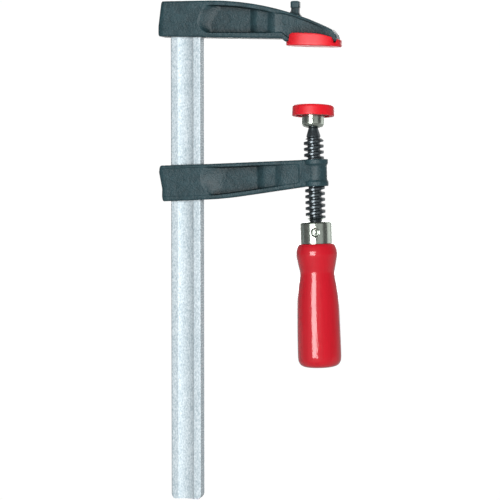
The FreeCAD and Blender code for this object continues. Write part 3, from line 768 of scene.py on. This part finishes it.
# Ball, neck, cone, thread and tang in one turned surface; the thread's ridge stands on the root and fades
# out over the cone.
def spindleShell():
    s = screw
    neckAngle = math.degrees(math.asin(s["neck"] / s["ball"]))
    ball = arc(0, ballHeight, s["ball"], 90, -90 + neckAngle, 24)
    neckTop = ball[-1][1]
    cone = rounded([ball[-1], (s["neck"], neckTop - 0.9), (s["cone"], s["coneEnd"]),
                    (s["root"], s["coneEnd"] - 0.9), (s["root"], s["coneEnd"] - 1.5)], [0.8, 0.6, 0.4])
    threadZ = np.arange(s["coneEnd"] - 1.7, s["threadLow"] - 0.5, -0.16)
    thread = np.stack([np.full(len(threadZ), s["root"]), threadZ], 1)
    low = threadZ[-1]
    tang = rounded([(s["root"], low - 0.1), (s["tang"], low - 0.5), (s["tang"], s["tangEnd"]),
                    (0.05, s["tangEnd"])], [0.1, 0.8])
    profile = np.concatenate([ball, evenly(cone[1:], 0.17), thread, evenly(tang, 4.0)])
    sides = 88
    a = np.linspace(0, 2 * math.pi, sides, endpoint=False)[None]
    r, z = profile[:, :1], profile[:, 1:]
    full = s["crest"] - s["root"]
    runOut = np.minimum(np.clip((s["threadHigh"] - z) / 2.1, 0, 1), np.clip((z - s["threadLow"]) / 1.6, 0, 1))
    fade = s["root"] + 0.2 + full * runOut
    ridge = ridgeHeight(a, z) * full * (z < s["threadHigh"]) * (z > low)
    radius = np.where(ridge > 0, np.minimum(np.maximum(r, s["root"] + ridge), np.maximum(r, fade)), r)
    grid = np.stack([radius * np.cos(a), radius * np.sin(a), np.broadcast_to(z, radius.shape)], -1)
    return skinOf(grid)


makePiece("screwSpindle", [onScrew(spindleShell())], oxide, "screw", "spindle", sharp=70)


pad = {
    "cupRadius": 8.1, "cupBottom": -4.7, "cupRound": 3.1, "socket": 4.8,
    "groove": 6.15, "grooveLow": -4.1, "grooveHigh": -1.9,    # for the ring
    "plateRadius": 12.8, "plateLow": 4.3, "plateHigh": 8.4,
    "radius": 15.0, "low": 3.3, "high": 10.8, "edge": 1.7, "lip": 12.1, "gap": 0.1,
}


def padCupShell():
    p = pad
    socket = arc(0, 0, p["socket"], 0, 88, 16)
    outer = rounded([(p["socket"], p["cupBottom"]), (p["cupRadius"], p["cupBottom"]),
                     (p["cupRadius"], p["plateLow"]), (p["plateRadius"], p["plateLow"]),
                     (p["plateRadius"], p["plateHigh"]), (0.05, p["plateHigh"])],
                    [p["cupRound"], 0.4, 0.4, 0.4])
    inside = np.array([(p["socket"], p["grooveLow"]), (p["groove"], p["grooveLow"]),
                       (p["groove"], p["grooveHigh"]), (p["socket"], p["grooveHigh"])])
    profile = np.concatenate([evenly(outer, 0.8)[::-1], inside, socket])
    return skinOf(turnedGrid(profile, 96))


def padCapShell():
    p = pad
    inner = p["plateRadius"] + p["gap"]
    floor = p["plateHigh"] + p["gap"]
    profile = rounded([(0.05, p["high"]), (p["radius"] - 0.25, p["high"]), (p["radius"], p["low"]),
                       (p["lip"], p["low"]), (p["lip"], p["plateLow"] - 0.5), (inner, p["plateLow"] - p["gap"]),
                       (inner, floor), (0.05, floor)], [p["edge"], 0.5, 0.3, 0.1, 0.1, 0.3])
    return skinOf(turnedGrid(evenly(profile, 0.9), 128))


makePiece("padCupNickel", [onPad(padCupShell())], nickel, "pad", "pad_cup")
makePiece("padCapRed", [onPad(padCapShell())], capRed, "pad", "pad_cap")


# Superellipse cup. Its rim is level at the heel, slopes down to the tip, and dips where the arm enters and
# where the hooked nose drops in.
def jawCapShell():
    c = jawCap
    sides = 360
    outer = ovalRing(c["halfLength"], c["halfWidth"], c["power"], sides)
    inner = ovalRing(c["halfLength"] - c["wall"], c["halfWidth"] - c["wall"], c["power"], sides)

    def rimAt(ring):
        x = ring[:, 0] + c["x"]
        z = alongCurve(x, c["rim"])
        heel = (x < -8) * smooth((c["throat"] + 0.35 - np.abs(ring[:, 1])) / 0.5)
        slot = smooth((x - c["hookX"][0]) / 0.4) * smooth((c["hookX"][1] - x) / 0.4)
        z = z + (c["throatHeight"] - z) * heel
        return z + (c["hookHeight"] - z) * slot

    rows = []

    def addRow(ring, z):
        rows.append(np.stack([ring[:, 0] + c["x"], ring[:, 1], np.broadcast_to(z, sides)], 1))

    e = c["edge"]
    for s in (0.05, 0.35, 0.65, 0.85):
        addRow(outer * s, 0.0)
    for angle in np.radians(np.linspace(0, 90, 6)):
        pull = e * (1 - math.sin(angle))
        addRow(outer * [1 - pull / c["halfLength"], 1 - pull / c["halfWidth"]], e * (1 - math.cos(angle)))
    rim = rimAt(outer)
    draft = np.linspace(0, 1, 9)[1:]
    for t in draft:
        addRow(outer * (1 - 0.012 * t), e + (rim - 0.35 - e) * t)
    for angle in np.radians((35, 70)):
        pull = 0.35 * (1 - math.cos(angle))
        addRow(outer * (0.988 - pull / 14), rim - 0.35 + 0.35 * math.sin(angle))
    rimIn = rimAt(inner)
    addRow(inner * 1.01, rimIn)
    for t in (0.03, 0.3, 0.65, 1.0):
        addRow(inner, rimIn + (c["face"] - rimIn) * t)
    for s in (0.7, 0.35, 0.05):
        addRow(inner * s, c["face"])
    return skinOf(np.array(rows))


makePiece("jawCapRed", [onJaw(jawCapShell())], capRed, "root", "jaw_cap")
print("pad and caps made")


grip = {
    "ferruleTop": -124.2, "ferruleLow": -139.8, "ferruleRadius": 11.3, "ferruleWall": 1.2, "ferruleRound": 1.6,
    "ferruleGap": 0.15,
    "pinZ": -131.6, "pinRadius": 2.1, "pinTurn": 7.0, "crater": 3.4, "craterDepth": 0.8,
    "points": [(12.6, -139.95), (13.9, -142.2), (14.75, -147.0), (13.5, -154.0), (12.35, -161.0),
               (13.6, -170.0), (14.8, -181.0), (15.3, -200.0), (15.45, -214.0), (15.45, -220.5)],
    "end": [(15.45, -220.5), (15.0, -223.6), (13.2, -226.3), (9.6, -227.7), (4.0, -228.0), (0.05, -228.0)],
}


def handleShell():
    g = grip
    spigot = g["ferruleRadius"] - g["ferruleWall"] - 0.1
    side = throughPoints(g["points"], 90)
    end = throughPoints(g["end"], 40)[1:]
    top, shoulder, bore = g["ferruleTop"] - g["ferruleWall"] - 0.1, g["ferruleLow"] - 0.1, screw["tang"] + 0.05
    neck = np.array([(bore, top), (spigot, top), (spigot, shoulder), (12.3, shoulder)])
    bore = np.array([(0.05, screw["tangEnd"] - 1.0), (bore, screw["tangEnd"] - 1.0)])
    return skinOf(turnedGrid(np.concatenate([bore, neck, side, end]), 120))


# Turned cap whose wall dips in a dish round each end of the cross pin.
def ferruleShell():
    g = grip
    radius, wall, bore = g["ferruleRadius"], g["ferruleWall"], screw["tang"] + g["ferruleGap"]
    outer = rounded([(bore, g["ferruleTop"]), (radius, g["ferruleTop"]), (radius, g["ferruleLow"]),
                     (radius - wall, g["ferruleLow"])], [g["ferruleRound"], 0.3])
    inner = np.array([(radius - wall, g["ferruleTop"] - wall), (bore, g["ferruleTop"] - wall)])
    profile = evenly(np.concatenate([outer, inner]), 0.3)
    grid = turnedGrid(profile, 200)
    angle = np.linspace(0, 2 * math.pi, 200, endpoint=False)[None]
    turn = math.radians(g["pinTurn"] - 90)
    apart = np.abs((angle - turn + math.pi / 2) % math.pi - math.pi / 2)    # from the nearer pin end
    away = np.sqrt((apart * radius) ** 2 + (profile[:, 1:] - g["pinZ"]) ** 2)
    outside = profile[:, :1] > radius - 0.3
    dish = g["craterDepth"] * smooth((g["crater"] - away) / (g["crater"] - g["pinRadius"])) * outside
    scale = 1 - dish / radius
    grid[..., :2] *= scale[..., None]
    return skinOf(grid, wrapRows=True)


def pinShell():
    g = grip
    half = g["ferruleRadius"] - 0.45
    r = g["pinRadius"]
    profile = rounded([(0.05, -half), (r - 0.1, -half + 0.25), (r - 0.05, 0), (r - 0.1, half - 0.25),
                       (0.05, half)], [0.8, 0.5, 0.8])
    verts, faces = skinOf(turnedGrid(evenly(profile, 1.5), 40))
    along = math.radians(g["pinTurn"] - 90)
    c, s = math.cos(along), math.sin(along)
    x, y, z = verts[:, 0], verts[:, 1], verts[:, 2]
    return np.stack([z * c - x * s, z * s + x * c, y + g["pinZ"]], 1), faces


makePiece("handleWood", [onScrew(handleShell())], varnish, "screw", "handle")
makePiece("ferruleNickel", [onScrew(ferruleShell())], nickel, "screw", "ferrule")
makePiece("ferrulePinHead", [onScrew(pinShell())], nickel, "screw", "ferrule_pin")

ring = frame["nodes"]["pad_ring"]
if not ring.material_slots:
    ring.data.materials.append(spring)
for entry in ring.material_slots:
    entry.material = spring
print("handle made")


def stageSheet(name, centre, right, up, material):  # flat sheet from its middle and two half sides
    centre, right, up = np.array(centre), np.array(right), np.array(up)
    corners = [centre - right - up, centre + right - up, centre + right + up, centre - right + up]
    mesh = bpy.data.meshes.new(name)
    mesh.from_pydata([c.tolist() for c in corners], [], [(0, 1, 2, 3)])
    mesh.materials.append(material)
    sheet = bpy.data.objects.new(name, mesh)
    bpy.context.scene.collection.objects.link(sheet)
    return sheet


stage = {
    "floorDrop": 0.15,              # below the clamp at rest, because the handle hangs lower with the arm down
    "seen": 1.02,                   # the sheets' brightness to the camera
    "floor": (0.25, 0.45),          # and to the clamp, in front and behind
    "backdrop": (0.9, 0.9),
    "room": (0.12, 0.35), "roomSeen": 0.92,
}
floorZ = cadLow[2] - stage["floorDrop"]


def glowing(name, strengths):  # white sheet: bright to the camera, and dimmer to the clamp, more so in front
    material, tree, place = newMaterial(name)
    parts = addNode(tree, "SeparateXYZ", links={"Vector": place})
    near, far = strengths
    level = addNode(tree, "MapRange", {"From Min": -0.3, "From Max": 0.02, "To Min": near, "To Max": far},
                    {"Value": parts.outputs["Y"]})
    ray = addNode(tree, "LightPath")
    seen = addNode(tree, "Mix", {"data_type": "FLOAT", 3: stage["seen"]},
                   {0: ray.outputs["Is Camera Ray"], 2: level.outputs["Result"]})
    shader = addNode(tree, "Emission", {"Color": hexColour("ffffff")}, {"Strength": seen.outputs[0]})
    finishMaterial(tree, shader)
    return material


stageSheet("floor", (0, 0.6, floorZ), (3, 0, 0), (0, 2.4, 0), glowing("paleFloor", stage["floor"]))
stageSheet("backdrop", (-0.3, 2.9, floorZ + 1.3), (1.6, 0.2, 0), (0, 0, 1.35),
           glowing("paleBackdrop", stage["backdrop"]))


def areaLight(name, place, target, size, power):
    data = bpy.data.lights.new(name, "AREA")
    data.shape = "RECTANGLE"
    data.size, data.size_y = size
    data.energy = power
    light = bpy.data.objects.new(name, data)
    light.location = place
    aim = np.array(target) - np.array(place)
    light.rotation_euler = Vector(aim.tolist()).to_track_quat("-Z", "Y").to_euler()
    bpy.context.scene.collection.objects.link(light)
    return light


world = bpy.data.worlds.new("softStudio")
bpy.context.scene.world = world
world.use_nodes = True
world.node_tree.nodes.clear()
heading = addNode(world.node_tree, "TexCoord")    # the room is brighter behind the clamp than in front
parts = addNode(world.node_tree, "SeparateXYZ", links={"Vector": heading.outputs["Generated"]})
front, behind = stage["room"]
level = addNode(world.node_tree, "MapRange",
                {"From Min": 0.1, "From Max": 0.6, "To Min": front, "To Max": behind}, {"Value": parts.outputs["Y"]})
ray = addNode(world.node_tree, "LightPath")
seen = addNode(world.node_tree, "Mix", {"data_type": "FLOAT", 3: stage["roomSeen"]},
               {0: ray.outputs["Is Camera Ray"], 2: level.outputs["Result"]})
backdrop = addNode(world.node_tree, "Background", {"Color": hexColour("ffffff")}, {"Strength": seen.outputs[0]})
addNode(world.node_tree, "OutputWorld", links={"Surface": backdrop.outputs[0]})

middle = (-0.04, 0.0, -0.13)


def around(azimuth, height, distance):  # a place round the clamp; 0 is in front, plus is right
    a = math.radians(azimuth)
    return (middle[0] + distance * math.sin(a), middle[1] - distance * math.cos(a), middle[2] + height)


def aimAt(light, pieces, state):  # barn doors: INCLUDE lights only these pieces, EXCLUDE keeps off them
    group = bpy.data.collections.new(light.name + "Doors")
    for piece in pieces:
        group.objects.link(piece)
    light.light_linking.receiver_collection = group
    for entry in group.collection_objects:
        entry.light_linking.link_state = state


piece = bpy.data.objects
castings = [piece["fixedArmCasting"], piece["slidingArmCasting"]]
bright = [piece["padCupNickel"], piece["ferruleNickel"], piece["ferrulePinHead"], piece["screwSpindle"]]

core = areaLight("frontCore", (-0.16, -0.72, -0.13), (0.0, 0.0, -0.15), (0.34, 0.40), 5.0)
core.visible_diffuse = False
aimAt(core, castings + [railPiece], "EXCLUDE")
fill = areaLight("frontSoftbox", around(13, 0.15, 1.7), middle, (1.2, 1.2), 36)
fill.visible_glossy = False
aimAt(fill, castings + [railPiece], "EXCLUDE")
railKey = areaLight("railSoftbox", around(41, 0.1, 1.3), middle, (0.5, 0.7), 24)
aimAt(railKey, [railPiece], "INCLUDE")
castingKey = areaLight("castingSoftbox", around(18, 0.15, 1.3), middle, (0.7, 0.7), 19)
aimAt(castingKey, castings, "INCLUDE")
for name, azimuth, power in (("nickelCard", 42, 2.1), ("nickelRearCard", 119, 3.6)):
    card = areaLight(name, around(azimuth, 0.0, 1.3), middle, (0.95, 1.6), power)
    card.visible_diffuse = False
    aimAt(card, bright, "INCLUDE")
rear = areaLight("rearSoftbox", around(190, 0.5, 1.7), middle, (1.4, 1.4), 22)
aimAt(rear, [piece["screwSpindle"]], "EXCLUDE")

shot = {"place": (0.2618, -1.3256, -0.0769), "azimuth": 13.0, "pitch": 2.86, "lens": 136.8, "sensor": 36.0}


def makeCamera(c):  # a long lens to the right of the front, looking slightly down
    data = bpy.data.cameras.new("camera")
    data.sensor_width = c["sensor"]
    data.lens = c["lens"]
    camera = bpy.data.objects.new("camera", data)
    camera.location = c["place"]
    camera.rotation_euler = (math.radians(90 - c["pitch"]), 0, math.radians(c["azimuth"]))
    bpy.context.scene.collection.objects.link(camera)
    bpy.context.scene.camera = camera


makeCamera(shot)
scene = bpy.context.scene
scene.view_settings.view_transform = "Standard"
scene.view_settings.look = "None"
